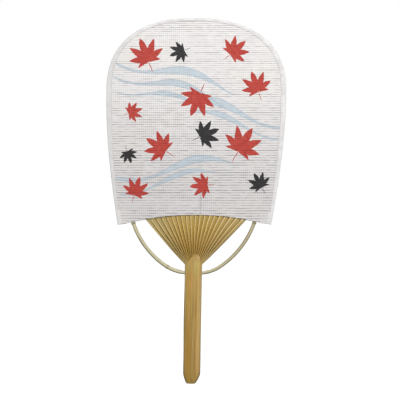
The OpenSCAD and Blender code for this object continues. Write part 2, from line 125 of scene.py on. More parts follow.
class Nodes:
    """Builds a node tree with short calls; a value may be a number, a tuple or another node's socket."""

    def __init__(self, tree):
        self.tree = tree

    def add(self, kind, props=None, **values):
        node = self.tree.nodes.new(kind)
        for key, value in (props or {}).items():
            setattr(node, key, value)
        for key, value in values.items():
            self.put(node.inputs[key], value)
        return node

    def put(self, socket, value):
        if isinstance(value, bpy.types.NodeSocket):
            self.tree.links.new(value, socket)
        else:
            socket.default_value = value

    def fill(self, kind, props, values):
        """Adds a node, fills its inputs in order and returns its first output."""
        node = self.add(kind, props)
        for socket, value in zip(node.inputs, values):
            self.put(socket, value)
        return node.outputs[0]

    def math(self, op, *values, clamp=False):
        return self.fill("ShaderNodeMath", {"operation": op, "use_clamp": clamp}, values)

    plus, minus = partialmethod(math, "ADD"), partialmethod(math, "SUBTRACT")
    times, over = partialmethod(math, "MULTIPLY"), partialmethod(math, "DIVIDE")
    greater = partialmethod(math, "MAXIMUM")

    def gap(self, a, b):
        """The distance between two numbers."""
        return self.math("ABSOLUTE", self.minus(a, b))

    def scaled(self, v, by):
        return self.fill("ShaderNodeVectorMath", {"operation": "MULTIPLY"}, (v, by))

    def ramp(self, v, low, high, to_low=0, to_high=1, kind="SMOOTHSTEP"):
        return self.fill("ShaderNodeMapRange", {"interpolation_type": kind}, (v, low, high, to_low, to_high))

    def mix(self, factor, a, b):
        node = self.add("ShaderNodeMix", {"data_type": "RGBA"})
        for place, value in ((0, factor), (6, a), (7, b)):
            self.put(node.inputs[place], value)
        return node.outputs[2]

    def noise(self, v, stretch, detail=2, roughness=0.5):
        """Noise that is finer where stretch is greater, given as one number or as one for each axis."""
        if isinstance(stretch, tuple):
            v, stretch = self.scaled(v, stretch), 1
        node = self.add("ShaderNodeTexNoise", Vector=v, Scale=stretch, Detail=detail, Roughness=roughness)
        return node.outputs[0]

    def attribute(self, name, output="Fac"):
        return self.add("ShaderNodeAttribute", {"attribute_name": name}).outputs[output]

    def position(self):
        """The place of each point in millimetres."""
        return self.scaled(self.add("ShaderNodeTexCoord").outputs["Object"], (1000, 1000, 1000))

    def split(self, v):
        return self.add("ShaderNodeSeparateXYZ", Vector=v).outputs

    def steps(self, v, stops):
        """A colour ramp with stops of (place, rgb)."""
        node = self.add("ShaderNodeValToRGB", Fac=v)
        elements = node.color_ramp.elements
        for k, (place, rgb) in enumerate(stops):
            element = elements[k] if k < 2 else elements.new(place)
            element.position = place
            element.color = srgb(*rgb)
        return node.outputs[0]

    def tinted(self, colour, rows):
        """The colour under tints of (value, low, high, strength, rgb) that grow to high."""
        for value, low, high, strength, rgb in rows:
            colour = self.mix(self.ramp(value, low, high, 0, strength), colour, srgb(*rgb))
        return colour


class Material(Nodes):
    """The nodes of a new material; paint gives the shader its colour and relief."""

    def __init__(self, name, roughness, specular, sheen=0):
        self.data = bpy.data.materials.new(name)
        self.data.use_nodes = True
        super().__init__(self.data.node_tree)
        self.shader = self.tree.nodes["Principled BSDF"].inputs
        self.put(self.shader["Roughness"], roughness)
        self.put(self.shader["Specular IOR Level"], specular)
        self.put(self.shader["Sheen Weight"], sheen)

    def paint(self, colour, height=None, depth=0):
        self.put(self.shader["Base Color"], colour)
        if height is not None:
            node = self.add("ShaderNodeBump", Height=height, Distance=depth, Strength=1)
            self.put(self.shader["Normal"], node.outputs[0])
        return self.data


# Mesh helpers

def points(x, y, z):
    """Points from coordinates, any of which may be a single number."""
    return np.stack(np.broadcast_arrays(x, y, z), axis=-1)


def new_object(name, data):
    obj = bpy.data.objects.new(name, data)
    bpy.context.scene.collection.objects.link(obj)
    return obj


def make_piece(name, verts, faces, mat, node, attributes=None, weld=0):
    """A piece from points in millimetres; attributes holds named numbers or vectors for each point."""
    mesh = bpy.data.meshes.new(name)
    mesh.from_pydata((verts * MM).tolist(), [], faces)
    for key, values in (attributes or {}).items():
        values = np.asarray(values, dtype=np.float32)
        kind, field = ("FLOAT_VECTOR", "vector") if values.ndim == 2 else ("FLOAT", "value")
        mesh.attributes.new(key, kind, "POINT").data.foreach_set(field, values.ravel())
    bm = bmesh.new()
    bm.from_mesh(mesh)
    if weld:
        bmesh.ops.remove_doubles(bm, verts=bm.verts, dist=weld * MM)
    bmesh.ops.recalc_face_normals(bm, faces=bm.faces)
    bm.to_mesh(mesh)
    bm.free()
    mesh.validate()
    mesh.polygons.foreach_set("use_smooth", [True] * len(mesh.polygons))
    mesh.materials.append(mat)
    obj = new_object(name, mesh)
    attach(obj, "root")
    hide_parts(node)
    return obj


def grid_faces(rows, cols, start=0, wrap=False):
    """Quads over rows of points; wrap joins each row's last point to its first."""
    faces = []
    for r in range(rows - 1):
        for c in range(cols if wrap else cols - 1):
            a = start + r * cols + c
            b = start + r * cols + (c + 1) % cols
            faces.append((a, b, b + cols, a + cols))
    return faces


def tube(rings):
    """Points and faces of a closed tube through rings of equal length, with flat ends."""
    count, sides = rings.shape[:2]
    faces = grid_faces(count, sides, wrap=True)
    faces.append(tuple(range(sides)))
    faces.append(tuple(range((count - 1) * sides, count * sides)))
    return rings.reshape(-1, 3), faces


def border(rows, cols):
    """Indexes of the points along the edge of a grid, in order."""
    rim = [(0, c) for c in range(cols)] + [(r, cols - 1) for r in range(1, rows)]
    rim += [(rows - 1, c) for c in range(cols - 2, -1, -1)] + [(r, 0) for r in range(rows - 2, 0, -1)]
    return [r * cols + c for r, c in rim]


def shell(outer, inner):
    """Points and faces of a thin closed skin between two grids of the same size."""
    rows, cols = outer.shape[:2]
    size = rows * cols
    verts = np.concatenate([outer.reshape(-1, 3), inner.reshape(-1, 3)])
    faces = grid_faces(rows, cols) + grid_faces(rows, cols, size)
    index = border(rows, cols)
    for a, b in zip(index, index[1:] + index[:1]):
        faces.append((a, b, b + size, a + size))
    return verts, faces


# Shape of the face

def half_width(z, inset=(0, 0, 0)):
    """Half of the face's width at height z, drawn in at the sides, at the top and at the foot."""
    side_in, top_in, foot_in = inset
    crown = np.clip((z - CROWN_Z) / (CROWN_H - top_in), 0, 1)
    upper = (FACE_W / 2 - side_in) * (1 - crown ** CROWN_POWER) ** (1 / CROWN_POWER)
    u = np.maximum(0, SIDE_Z - z) / (SIDE_Z - FOOT_Z)
    w, f = FACE_W / 2 - side_in, FOOT_W / 2 - foot_in
    return np.where(z > CROWN_Z, upper, w - (w - f) * u ** SIDE_POWER)


# How much flatter the hem runs out at its right and its left corner
FLAT_RIGHT, FLAT_LEFT = 1.4, 1.1


def hem_height(x):
    """Height of the cloths' arched lower edge, which runs out flatter at the two corners."""
    flatter = FLAT_RIGHT * smooth(82, 98, x) + FLAT_LEFT * smooth(88, 98, -x)
    return HEM_C[1] + np.sqrt(HEM_R ** 2 - (x - HEM_C[0]) ** 2) + flatter


def outline(share, count):
    """Points from the left foot over the top to the right foot, drawn in by a share of the binding."""
    inset = side_in, top_in, foot_in = [w * share for w in BINDING_WIDTHS]
    a = np.linspace(pi / 2, 0, count)
    crown = np.stack([
        (FACE_W / 2 - side_in) * np.cos(a).clip(0) ** (2 / CROWN_POWER),
        CROWN_Z + (CROWN_H - top_in) * np.sin(a).clip(0) ** (2 / CROWN_POWER),
    ], axis=1)
    halves = []
    for side in (-1, 1):
        end = FOOT_Z
        for _ in range(4):
            end = hem_height(side * half_width(end, inset))
        z = np.linspace(CROWN_Z, end, count)[1:]
        flank = np.stack([half_width(z, inset), z], axis=1)
        halves.append(np.concatenate([crown, flank]) * [side, 1])
    return np.concatenate([halves[0][:0:-1], halves[1]])


# Ribs

def rib_angle(i):
    steps = max(-EDGE_PLACE, min(EDGE_PLACE, i - MIDDLE_RIB))
    return radians(FAN_LEAN) + steps * RIB_STEP


def rib_root(i):
    return np.array([(i - MIDDLE_RIB) * ROOT_PITCH, SPLIT_Z])


def rib_dir(i):
    return np.array([sin(rib_angle(i)), cos(rib_angle(i))])


def rib_spacing(i, l):
    return ROOT_PITCH * cos(rib_angle(i)) + l * sin(RIB_STEP)


def length_to_arc(i, radius):
    start = rib_root(i) - HEM_C
    b = start @ rib_dir(i)
    return sqrt(b * b - start @ start + radius ** 2) - b


def width_share(i):
    """The two outermost ribs are narrower than the rest."""
    return EDGE_SHARE if abs(i - MIDDLE_RIB) > EDGE_PLACE else 1


def hem_width(i):
    return min(RIB_W, rib_spacing(i, length_to_arc(i, HEM_R)) * width_share(i) - RIB_GAP)


def rib_length(i):
    """Length of rib i up to the place where it ends inside the binding."""
    low, high = 0, 600
    for _ in range(20):
        mid = (low + high) / 2
        x, z = rib_root(i) + mid * rib_dir(i)
        if z < TOP_Z - TIP_INSET and abs(x) < half_width(z, [TIP_INSET] * 3):
            low = mid
        else:
            high = mid
    return low


RIB_SIDE_POINTS, RIB_ROUND = 5, 0.16
# The split slats keep more width and thickness than the part's plain ribs, and turn flat later
SEEN_GAP, SEEN_LAP, SEEN_T = 0.15, 0.35, 1.3
SEEN_LAP_DROP, SEEN_FLAT_DROP, SEEN_MAX_W, UNDER_L = 3.6, 0.6, 7.2, 4
# Each rib takes its grain from a place of its own
GRAIN_SHIFT = 31.7


def rib_section(w, t):
    """A rib's rounded section, with its width along the first axis and its thickness along the second."""
    half_w, half_t = w / 2, t / 2
    front = [(x, half_t) for x in np.linspace(-1, 1, RIB_SIDE_POINTS) * (half_w - RIB_ROUND)]
    edge = [(half_w - 0.05, half_t - 0.06), (half_w, 0), (half_w - 0.05, 0.06 - half_t)]
    return np.concatenate([front + edge, -np.array(front + edge)])


def rib_points(i, rng):
    """Rings of rib i, each point's place across, through and along it, and its length up to the hem."""
    hem_l = length_to_arc(i, HEM_R)
    flat_l, lap_l = hem_l - SEEN_FLAT_DROP, hem_l - SEEN_LAP_DROP
    end_l = rib_length(i)
    hem_w = min(rib_spacing(i, hem_l) * width_share(i) - SEEN_GAP, SEEN_MAX_W)
    lap_w = (rib_spacing(i, lap_l) + SEEN_LAP) * width_share(i)
    c = rib_dir(i)
    side = np.array([c[1], -c[0]])
    sway = rng.uniform(-1, 1, 3)
    lengths = np.concatenate([
        np.linspace(0, lap_l, 44), np.linspace(lap_l, flat_l, 7)[1:], [hem_l],
        np.linspace(hem_l + UNDER_L, end_l, 24),
    ])
    rings, grain = [], []
    for l in lengths:
        rise = min(l / lap_l, 1)
        past = np.clip((l - lap_l) / (flat_l - lap_l), 0, 1)
        turn = radians(rise * LAP_A + past * (90 - LAP_A))
        w = RIB_W + (lap_w - RIB_W) * rise + (hem_w - lap_w) * past
        thin = smooth(0.25 * flat_l, 0.9 * flat_l, l)
        t = min(SEEN_T + (RIB_THIN_T - SEEN_T) * thin, rib_spacing(i, l) * cos(min(turn, 0.9)) - 0.08)
        if l > hem_l:
            w = hem_w + (RIB_TIP_W - hem_w) * (l - hem_l) / (end_l - hem_l)
        # Splitting leaves the edges a little uneven
        uneven = sin(pi * rise) * (1 - past)
        w += 0.1 * uneven * sin(l / 4.7 + 5 * sway[0])
        t *= 1 + 0.08 * uneven * sin(l / 6.3 + 5 * sway[1])
        u, v = rib_section(w, t).T
        across = u * sin(turn) + v * cos(turn) + 0.07 * uneven * sway[2]
        back = u * cos(turn) - v * sin(turn)
        slide = across * tan(rib_angle(i)) if l == 0 else 0 * across
        q = rib_root(i) + np.outer(l + slide, c) + np.outer(across, side)
        y = ROOT_BACK * max(0, 1 - l / flat_l) + back
        rings.append(points(q[:, 0], y, q[:, 1]))
        grain.append(points(u + GRAIN_SHIFT * i, v, l))
    return np.array(rings), np.array(grain), hem_l


# Bow

def meeting(c1, r1, c2, r2):
    """The crossing of two circles that lies furthest to the right."""
    d = np.linalg.norm(c2 - c1)
    along = (d * d + r1 * r1 - r2 * r2) / (2 * d)
    u = (c2 - c1) / d
    return c1 + along * u + sqrt(r1 * r1 - along * along) * np.array([-u[1], u[0]])


BOW_R = BOW_D / 2
BOW_RISE = BOW_MID_R - sqrt(BOW_MID_R ** 2 - (HANDLE_W / 2) ** 2)
HOLE_R = BOW_R + BOW_RISE / 2 + HOLE_PLAY
HOLE_Z = SPLIT_Z - HOLE_DROP
BOW_Z = HOLE_Z - BOW_RISE / 2
MID_C = np.array([0, BOW_Z + BOW_MID_R])
MID_A = radians(BOW_MID_A)
END_C = MID_C + (BOW_END_R - BOW_MID_R) * np.array([-sin(MID_A), cos(MID_A)])
# Where each end of the bow meets the hem, with the left one given mirrored
HEM_CROSS = {side: meeting(END_C, BOW_END_R, HEM_C * [side, 1], HEM_R) for side in (-1, 1)}
HEM_A = {side: atan2(p[0] - END_C[0], END_C[1] - p[1]) for side, p in HEM_CROSS.items()}
TIP_A = {side: a + BOW_TUCK / BOW_END_R for side, a in HEM_A.items()}

# The bent rod is stouter than the part's, and bulges where it leaves the part's two plain arcs
SEEN_BOW_R = {-1: 2.5, 1: 2.35}
BOW_PLACES = [0, 0.12, 0.35, 0.6, 0.8, 1]
BOW_BULGE = {-1: [0, 0.5, 1.5, 1.7, 1.6, 1.4], 1: [0, 0.6, 0.9, 0.2, -0.3, -0.4]}
# Millimetres of grain for each radian along the bow, and the radius of its grain round the rod
BOW_GRAIN, BOW_GRAIN_R = 70, 2


def bow_bulge(a):
    """How far the rod lies outside the part's arcs at an angle from its lowest point."""
    side = 1 if a > 0 else -1
    return np.interp(abs(a) / HEM_A[side], BOW_PLACES, BOW_BULGE[side])


def spoke(a):
    """The direction in the face's plane at an angle from straight down."""
    return np.array([sin(a), -cos(a)])


def bow_rings(count, sides):
    """Rings of the bow, and for each point its place round and along the rod."""
    rings, grain = [], []
    for k in range(count):
        a = -TIP_A[-1] + (TIP_A[-1] + TIP_A[1]) * k / (count - 1)
        cross_z = HEM_CROSS[1 if a > 0 else -1][1]
        centre, r = (MID_C, BOW_MID_R) if abs(a) <= MID_A else (END_C * [np.sign(a), 1], BOW_END_R)
        c = centre + (r + bow_bulge(a)) * spoke(a)
        from_knuckle = (a + radians(KNUCKLE_A)) * BOW_MID_R
        swell = (KNUCKLE_D / 2 - BOW_R) * exp(-(from_knuckle / 1.3) ** 2)
        swell -= 0.12 * exp(-((from_knuckle - 2.2) / 0.7) ** 2)
        limit = CLOTH_IN + max(0, cross_z - FLAT_L - c[1]) * BOW_R / SCARF_L
        t = np.linspace(0, 2 * pi, sides, endpoint=False)
        # It keeps the part's radius inside the handle's hole
        free = smooth(12, 17, abs(c[0]))
        stout = SEEN_BOW_R[1 if a > 0 else -1] - BOW_R
        radius = BOW_R + swell + free * (stout + 0.05 * np.sin(3 * t + a * 5))
        q = c + np.outer(radius * np.cos(t), spoke(a))
        y = HANDLE_Y * (cross_z - c[1]) / (cross_z - BOW_Z) + radius * np.sin(t)
        y = np.clip(y, -limit, limit)
        rings.append(points(q[:, 0], y, q[:, 1]))
        grain.append(points(BOW_GRAIN_R * np.cos(t), BOW_GRAIN_R * np.sin(t), a * BOW_GRAIN))
    return np.array(rings), np.array(grain)


# Thread

TURN_STEPS = 24


def thread_path():
    """The thread's path from the left winding over and under the ribs to the right winding."""
    thread_r = THREAD_D / 2
    half_t = CLOTH_IN + WIND_GAP + thread_r

    def winding(side):
        a = HEM_A[side]
        half_w = SEEN_BOW_R[side] + WIND_GAP + thread_r
        hem_out = (HEM_CROSS[side] - HEM_C * [side, 1]) / HEM_R
        along = np.array([cos(a), sin(a)])
        start = (THREAD_DROP + thread_r + half_w * abs(spoke(a) @ hem_out)) / (along @ hem_out)
        turns = []
        for k in range(WIND_TURNS * TURN_STEPS + 1):
            turn = pi * (1 + 2 * k / TURN_STEPS)
            bent = [copysign(abs(v) ** WIND_POWER, v) for v in (cos(turn), sin(turn))]
            r = BOW_END_R + bow_bulge(side * a) + half_w * bent[0]
            q = END_C + r * spoke(a - (start + WIND_PITCH * k / TURN_STEPS) / BOW_END_R)
            turns.append([side * q[0], half_t * bent[1], q[1]])
        return np.array(turns)

    lace_r = HEM_R - THREAD_DROP - thread_r
    lace_y = CLOTH_IN + THREAD_GAP + thread_r

    def lace(x, y):
        return [x, y, HEM_C[1] + sqrt(lace_r ** 2 - (x - HEM_C[0]) ** 2)]

    def end(i, s):
        x = (rib_root(i) + length_to_arc(i, lace_r) * rib_dir(i))[0]
        return x + s * (hem_width(i) / 2 + LACE_RUN) / cos(rib_angle(i))

    lacing = []
    for i in RIBS:
        side = 1 if i % 2 == 0 else -1
        lacing += [lace(end(i, -1), side * lace_y), lace(end(i, 1), side * lace_y)]
        if i < RIB_COUNT:
            lacing.append(lace((end(i, 1) + end(i + 1, -1)) / 2, 0))
    return np.concatenate([winding(-1)[::-1], np.array(lacing), winding(1)])


def finer(path, step):
    """The same path with points no further apart than a step."""
    dense = [path[0]]
    for a, b in zip(path[:-1], path[1:]):
        n = max(1, ceil(np.linalg.norm(b - a) / step))
        dense += [a + (b - a) * k / n for k in range(1, n + 1)]
    return np.array(dense)


def thread_rings(path, radius, sides, twist):
    """Rings of a two-ply twisted thread."""
    rings, grain, run = [], [], 0
    for k, p in enumerate(path):
        ahead, behind = path[min(k + 1, len(path) - 1)], path[max(k - 1, 0)]
        along = (ahead - behind) / np.linalg.norm(ahead - behind)
        up = np.array([0, 0, 1]) - along[2] * along
        up /= np.linalg.norm(up)
        side = np.cross(up, along)
        run += np.linalg.norm(p - behind)
        t = np.linspace(0, 2 * pi, sides, endpoint=False)
        r = radius * (0.86 + 0.14 * np.abs(np.cos(t - twist * run)))
        rings.append(p + np.outer(r * np.cos(t), up) + np.outer(r * np.sin(t), side))
        grain.append(points(t, twist, run))
    return np.array(rings), np.array(grain)


# Handle

# How far the butt draws in, how its corners are rounded, what is cut off its end, and its slant
BUTT_DRAW, BUTT_ROUND, BUTT_ROUND_L, BUTT_TRIM, BUTT_SLANT = 5, 2.3, 2, 0.8, 1.9
ACROSS_POINTS, SIDE_POINTS = 18, 5


def tongue_edge(side, u):
    power = TONGUE_RIGHT_POWER if side > 0 else TONGUE_LEFT_POWER
    half = TONGUE_TIP_W / 2 + (HANDLE_W - TONGUE_TIP_W) / 2 * max(0, 1 - u) ** power
    return side * half + TONGUE_LEAN * u


def handle_limits(z):
    """Left and right edge, front and back of the handle at height z."""
    slope = max(0, (z - SPLIT_Z + TONGUE_SHAVE) / (TONGUE_H + TONGUE_SHAVE))
    front = FRONT_Y + (TONGUE_BACK_Y - TONGUE_TIP_T - FRONT_Y) * slope
    if z > SPLIT_Z:
        u = (z - SPLIT_Z) / TONGUE_H
        return tongue_edge(-1, u), tongue_edge(1, u), front, TONGUE_BACK_Y
    down = max(0, 1 - (z - BUTT_Z) / BUTT_L)
    # The whittled end stays fuller than the part's, and its corners are rounded off
    corner = np.clip(1 - (z - BUTT_Z - BUTT_TRIM) / BUTT_ROUND_L, 0, 1)
    half = HANDLE_W / 2 - BUTT_DRAW * down ** BUTT_POWER - BUTT_ROUND * (1 - sqrt(1 - corner ** 2))
    trim = (HANDLE_T - BUTT_T) / 2 * down ** BUTT_POWER
    # The knife leaves the sides a little uneven
    left = -half - 0.55 * exp(-((z - 8) / 34) ** 2) - 0.2 * exp(-((z + 55) / 9) ** 2) - 0.5 * down
    right = half - BUTT_SLANT * down ** 1.3 - 0.12 * exp(-((z + 20) / 18) ** 2)
    return left, right, front + trim, BACK_Y - trim


def handle_ring(z):
    """A ring round the handle: swelling front with pared edges, flat back."""
    left, right, front, back = handle_limits(z)
    mid, half = (left + right) / 2, (right - left) / 2
    r = min(EDGE_R, half * 0.4, (back - front) * 0.4)
    wear = 0.5 * r
    s = np.linspace(-1, 1, ACROSS_POINTS)
    # The front is pared in three flats whose edges the hand has rounded
    crown = FRONT_CROWN * min(1, half / (HANDLE_W / 2)) ** 2
    fall = np.maximum(np.abs(s) - 0.62, 0) / 0.38 * 0.72 + 0.28 * s * s
    y_front = front + crown * fall + 0.03 * np.sin(s * 21 + 0.4 * sin(z / 31)) * min(1, half / 8)
    share = np.linspace(0, 1, SIDE_POINTS + 2)[1:-1]
    inward = wear * 0.4 * (1 - np.sin(share * pi) ** 0.5)
    edge = front + crown
    deep = back - wear - edge
    # The bamboo's node swells across the back below the split
    rise, above = 0, z - SPLIT_Z + NODE_DROP
    if z < SPLIT_Z and abs(above) < NODE_R:
        rise = max(0, sqrt(NODE_R ** 2 - above ** 2) - (NODE_R - NODE_RISE))
    y_back = back + rise * (1 - np.abs(s) ** 6) + 0.02 * np.sin(s * 25)
    x = np.concatenate([mid + s * (half - r * 0.35), right - inward, mid - s * (half - wear), left + inward])
    y = np.concatenate([y_front, edge + deep * share, y_back[::-1], back - wear - deep * share])
    return points(x, y, z)


# Materials

BAMBOO_FINE = (5, 5, 0.035)
BAMBOO_BROAD = (0.55, 0.55, 0.012)


def bamboo_detail(n, grain):
    """Fine fibres and broader streaks that run along the grain."""
    return n.noise(grain, BAMBOO_FINE, 3, 0.6), n.noise(grain, BAMBOO_BROAD)


def make_rib_material():
    n = Material("split_bamboo", 0.55, 0.2)
    along, across, lean = n.split(n.attribute("place", "Vector"))
    tone = n.attribute("tone")
    fine, broad = bamboo_detail(n, n.attribute("grain", "Vector"))
    # Golden at the neck and paler towards the cloth
    colour = n.steps(along, [
        (0, (144, 112, 38)), (0.35, (152, 118, 40)), (0.75, (162, 134, 60)), (1, (166, 144, 82)),
    ])
    pale = n.times(n.ramp(lean, 0.2, 0.8, 0.55, 1), n.ramp(along, 0.25, 0.85, 0.1, 1))
    near = n.times(n.ramp(along, 0.5, 0.9), n.ramp(tone, 0, 1, 1, 0.75))
    colour = n.tinted(colour, [
        # Light that the close slats near the neck pass on to each other
        (across, 0.15, 0.6, n.ramp(along, 0.7, 0.3, 0, 0.7), (228, 184, 90)),
        (broad, 0.35, 0.65, 0.4, (188, 160, 94)), (fine, 0.42, 0.62, 0.35, (130, 102, 46)),
        (tone, 0, 1, 0.28, (156, 124, 56)), (lean, 0.35, 0, 0.55, (148, 138, 98)),
        (lean, 0.7, 1, 0.4, (182, 164, 120)),
        # A painted highlight on the cut edge in front, and painted shade on the edge that goes back under the
        # next slat and on the ribs just below the cloth
        (across, 0.28, 0.1, n.times(pale, 0.85), (220, 192, 138)),
        (across, 0.76, 0.93, near, (74, 54, 22)), (along, 0.978, 0.994, 0.55, (96, 76, 42)),
    ])
    return n.paint(colour, fine, 0.00006)


def make_bow_material():
    n = Material("peeled_bamboo", 0.48, 0.3)
    fine, broad = bamboo_detail(n, n.attribute("grain", "Vector"))
    outer, right, knuckle = n.split(n.attribute("place", "Vector"))
    # A greenish white skin on the left, greyer on the right, with a darker line along the curve's outside
    colour = n.tinted(n.mix(right, srgb(188, 183, 151), srgb(168, 158, 128)), [
        (broad, 0.4, 0.65, 0.3, (176, 160, 124)),
        (n.gap(outer, 0.78), 0.16, 0.05, 0.75, (132, 122, 92)),
        (outer, 0.34, 0.16, n.ramp(right, 0.4, 0.8, 0.1, 0.9), (126, 114, 90)),
        (fine, 0.45, 0.65, 0.3, (132, 118, 86)),
    ])
    return n.paint(n.mix(n.times(knuckle, 0.45), colour, srgb(146, 122, 84)), fine, 0.00005)


def make_handle_material():
    n = Material("shaved_bamboo", 0.46, 0.4)
    position = n.position()
    fine, broad = bamboo_detail(n, position)
    x, _, z = n.split(position)
    warp = n.times(n.minus(n.noise(position, (0.05, 0.05, 0.02)), 0.5), 1.4)
    across = n.ramp(n.plus(x, warp), -HANDLE_W / 2, HANDLE_W / 2, 0, 1, "LINEAR")
    # Columns of grain across the front, with painted shade along the two edges, darkest at the left, and a
    # painted highlight on the pale strip right of the middle
    colour = n.steps(across, [
        (0, (112, 100, 64)), (0.05, (126, 110, 60)), (0.1, (150, 118, 44)), (0.24, (162, 124, 34)),
        (0.36, (168, 132, 46)), (0.45, (150, 124, 58)), (0.53, (172, 145, 82)), (0.6, (168, 138, 64)),
        (0.68, (160, 130, 58)), (0.77, (196, 160, 90)), (0.86, (184, 152, 90)), (0.93, (178, 158, 112)),
        (0.975, (156, 142, 106)), (1, (132, 118, 86)),
    ])

    def spot(cx, cz, rx, rz, strength, rgb):
        """A tint over an oval patch with soft edges."""
        dx, dz = n.over(n.minus(x, cx), rx), n.over(n.minus(z, cz), rz)
        return n.plus(n.times(dx, dx), n.times(dz, dz)), 1, 0.1, strength, rgb

    streak = n.noise(position, (0.75, 0.75, 0.022), 4, 0.65)
    stain = n.noise(position, (0.5, 0.5, 0.35), 4, 0.65)
    specks = n.noise(position, (0.9, 0.9, 0.5), 3, 0.7)
    rough = n.ramp(z, -62, -69, 0, 0.6)
    # How far each point lies inside the whittled sides
    down = n.ramp(z, BUTT_Z + BUTT_L, BUTT_Z, 0, 1, "LINEAR")
    side = n.minus(HANDLE_W / 2, n.times(n.math("POWER", down, BUTT_POWER), BUTT_DRAW + BUTT_SLANT / 2))
    facet = n.minus(side, n.gap(x, n.times(down, -BUTT_SLANT / 2)))
    colour = n.tinted(colour, [
        (streak, 0.5, 0.34, 0.5, (206, 178, 112)), (streak, 0.5, 0.66, 0.6, (126, 92, 34)),
        (broad, 0.38, 0.66, 0.35, (158, 120, 50)), (fine, 0.43, 0.6, 0.45, (118, 86, 34)),
        # Painted light and shade: lighter high up and darker towards the butt
        (z, 20, 60, 0.2, (190, 156, 88)), (z, 10, -75, 0.45, (142, 107, 38)),
        # Skin left green beside the tongue, and a redder patch below the bow's left side
        spot(4, 74, 5.5, 15, 0.5, (174, 158, 82)),
        spot(-6.5, 73, 4.6, 9, 0.45, (160, 144, 76)),
        spot(-3.6, 60, 5, 14, 0.2, (180, 134, 60)),
        spot(-3, 46, 3, 12, 0.2, (184, 134, 66)),
        # A painted highlight near the tongue's tip
        spot(5.6, 86.5, 2, 2.6, 0.8, (196, 162, 122)),
        (z, 77, 85, 0.35, (148, 120, 58)), (z, 86, 89.5, 0.6, (146, 116, 52)),
        # Lower down the grain parts into a golden band and a thin dark line, and the painted highlight of the
        # pale strip runs on as a pale band
        spot(-4.8, -36, 3.2, 46, 0.6, (146, 110, 24)),
        spot(3.5, -42, 0.9, 30, 0.7, (132, 100, 44)),
        spot(6, -36, 1.9, 40, 0.5, (198, 158, 100)),
        # Hand-darkened butt, whose end grain is rough and dark
        (n.plus(z, n.times(stain, 6)), -66, -72.5, 0.6, (122, 98, 40)),
        (specks, 0.52, 0.64, rough, (186, 166, 72)), (specks, 0.46, 0.36, rough, (92, 74, 30)),
        # Darker along the facets whittled at the butt's two sides
        (facet, 3, 1, n.ramp(z, -54, -64, 0, 0.75), (84, 70, 42)),
    ])
    return n.paint(colour, n.plus(fine, n.times(broad, 0.6)), 0.0001)


def make_thread_material():
    n = Material("lacing_cotton", 0.9, 0.2)
    speck = n.ramp(n.noise(n.attribute("grain", "Vector"), (1, 1, 2.5)), 0.3, 0.7)
    # Laced under the cloth's edge the thread is darker, partly painted shade from the cloth; wound round the
    # bow it is paler
    laced = n.mix(speck, srgb(74, 56, 34), srgb(112, 88, 54))
    pale = n.mix(speck, srgb(134, 122, 98), srgb(176, 166, 140))
    return n.paint(n.mix(n.attribute("wound"), laced, pale))


def weave_lines(n, phase, inner, outer):
    """1 on the middle of each thread's line and 0 away from it."""
    return n.ramp(n.gap(n.math("FRACT", phase), 0.5), inner, outer, 1, 0)


def make_strip_material():
    n = Material("pasted_strip", 0.8, 0.25, 0.05)
    position = n.position()
    across = n.attribute("across")
    soft, fibre = n.noise(position, 0.12, 3), n.noise(position, 2.2, 3, 0.6)
    colour = n.mix(n.ramp(soft, 0.35, 0.65), srgb(205, 203, 202), srgb(219, 217, 215))
    colour = n.tinted(colour, [
        (fibre, 0.45, 0.7, 0.4, (186, 184, 183)),
        # Painted shade: greyer towards the left side
        (n.split(position)[0], -60, -108, 0.4, (193, 192, 191)),
    ])
    # The cloth's threads show faintly through the strip, most where it is thinnest at its inner edge
    weft = weave_lines(n, n.split(n.attribute("weave", "Vector"))[2], 0.07, 0.24)
    colour = n.mix(n.times(weft, n.ramp(across, 0.2, 1, 0.05, 0.3)), colour, srgb(168, 164, 166))
    # Painted shade: a grey line where the fold turns and where the strip ends
    colour = n.tinted(colour, [
        (across, 0.07, 0.02, n.ramp(soft, 0.4, 0.6, 0.25, 0.8), (168, 170, 172)),
        (across, 0.9, 0.98, 0.75, (168, 165, 167)),
    ])
    return n.paint(colour, n.plus(fibre, soft), 0.00006)


# The leaf's outline in polar form, from its tip (0) round to its stem (1), the same on both sides
LEAF_OUTLINE = [
    (0, 1), (0.045, 0.8), (0.1, 0.5), (0.155, 0.72), (0.205, 0.96), (0.25, 0.7),
    (0.31, 0.46), (0.36, 0.64), (0.41, 0.82), (0.46, 0.58), (0.52, 0.37), (0.56, 0.46),
    (0.605, 0.56), (0.65, 0.34), (0.7, 0.22), (0.93, 0.1), (0.968, 0.09), (1, 0.62),
]
# Leaves that drift on the stream, with their turn in degrees
LEAF_KEYS = ("Centre X", "Centre Z", "Turn", "Size")
RED_LEAVES = [
    (-62, 336, 22, 29), (44, 346, -48, 24), (-84, 268, -70, 17), (4, 292, 158, 29), (78, 300, 20, 25),
    (-40, 222, 58, 27), (56, 224, -30, 32), (-76, 166, -16, 22), (14, 178, 96, 21),
]
BLACK_LEAVES = [(-18, 348, 112, 18), (-86, 218, 200, 15), (8, 240, -66, 24), (84, 178, 30, 19)]
# Bands of the stream
STROKE_KEYS = ("Centre X", "Centre Z", "Reach", "Rise", "Swing", "Wave", "Shift", "Half Width")
STROKES = [
    (-30, 318, 78, -20, 9, 24, 0.6, 5.6), (-34, 301, 72, -20, 9, 24, 0.8, 4.6),
    (-40, 286, 60, -16, 9, 24, 1, 3.4), (44, 272, 66, -14, 8, 22, 2.5, 5.8),
    (50, 256, 56, -12, 8, 22, 2.7, 4.2), (-28, 198, 76, 12, 8, 23, 0.2, 5.6),
    (-34, 182, 62, 12, 8, 23, 0.4, 4),
]


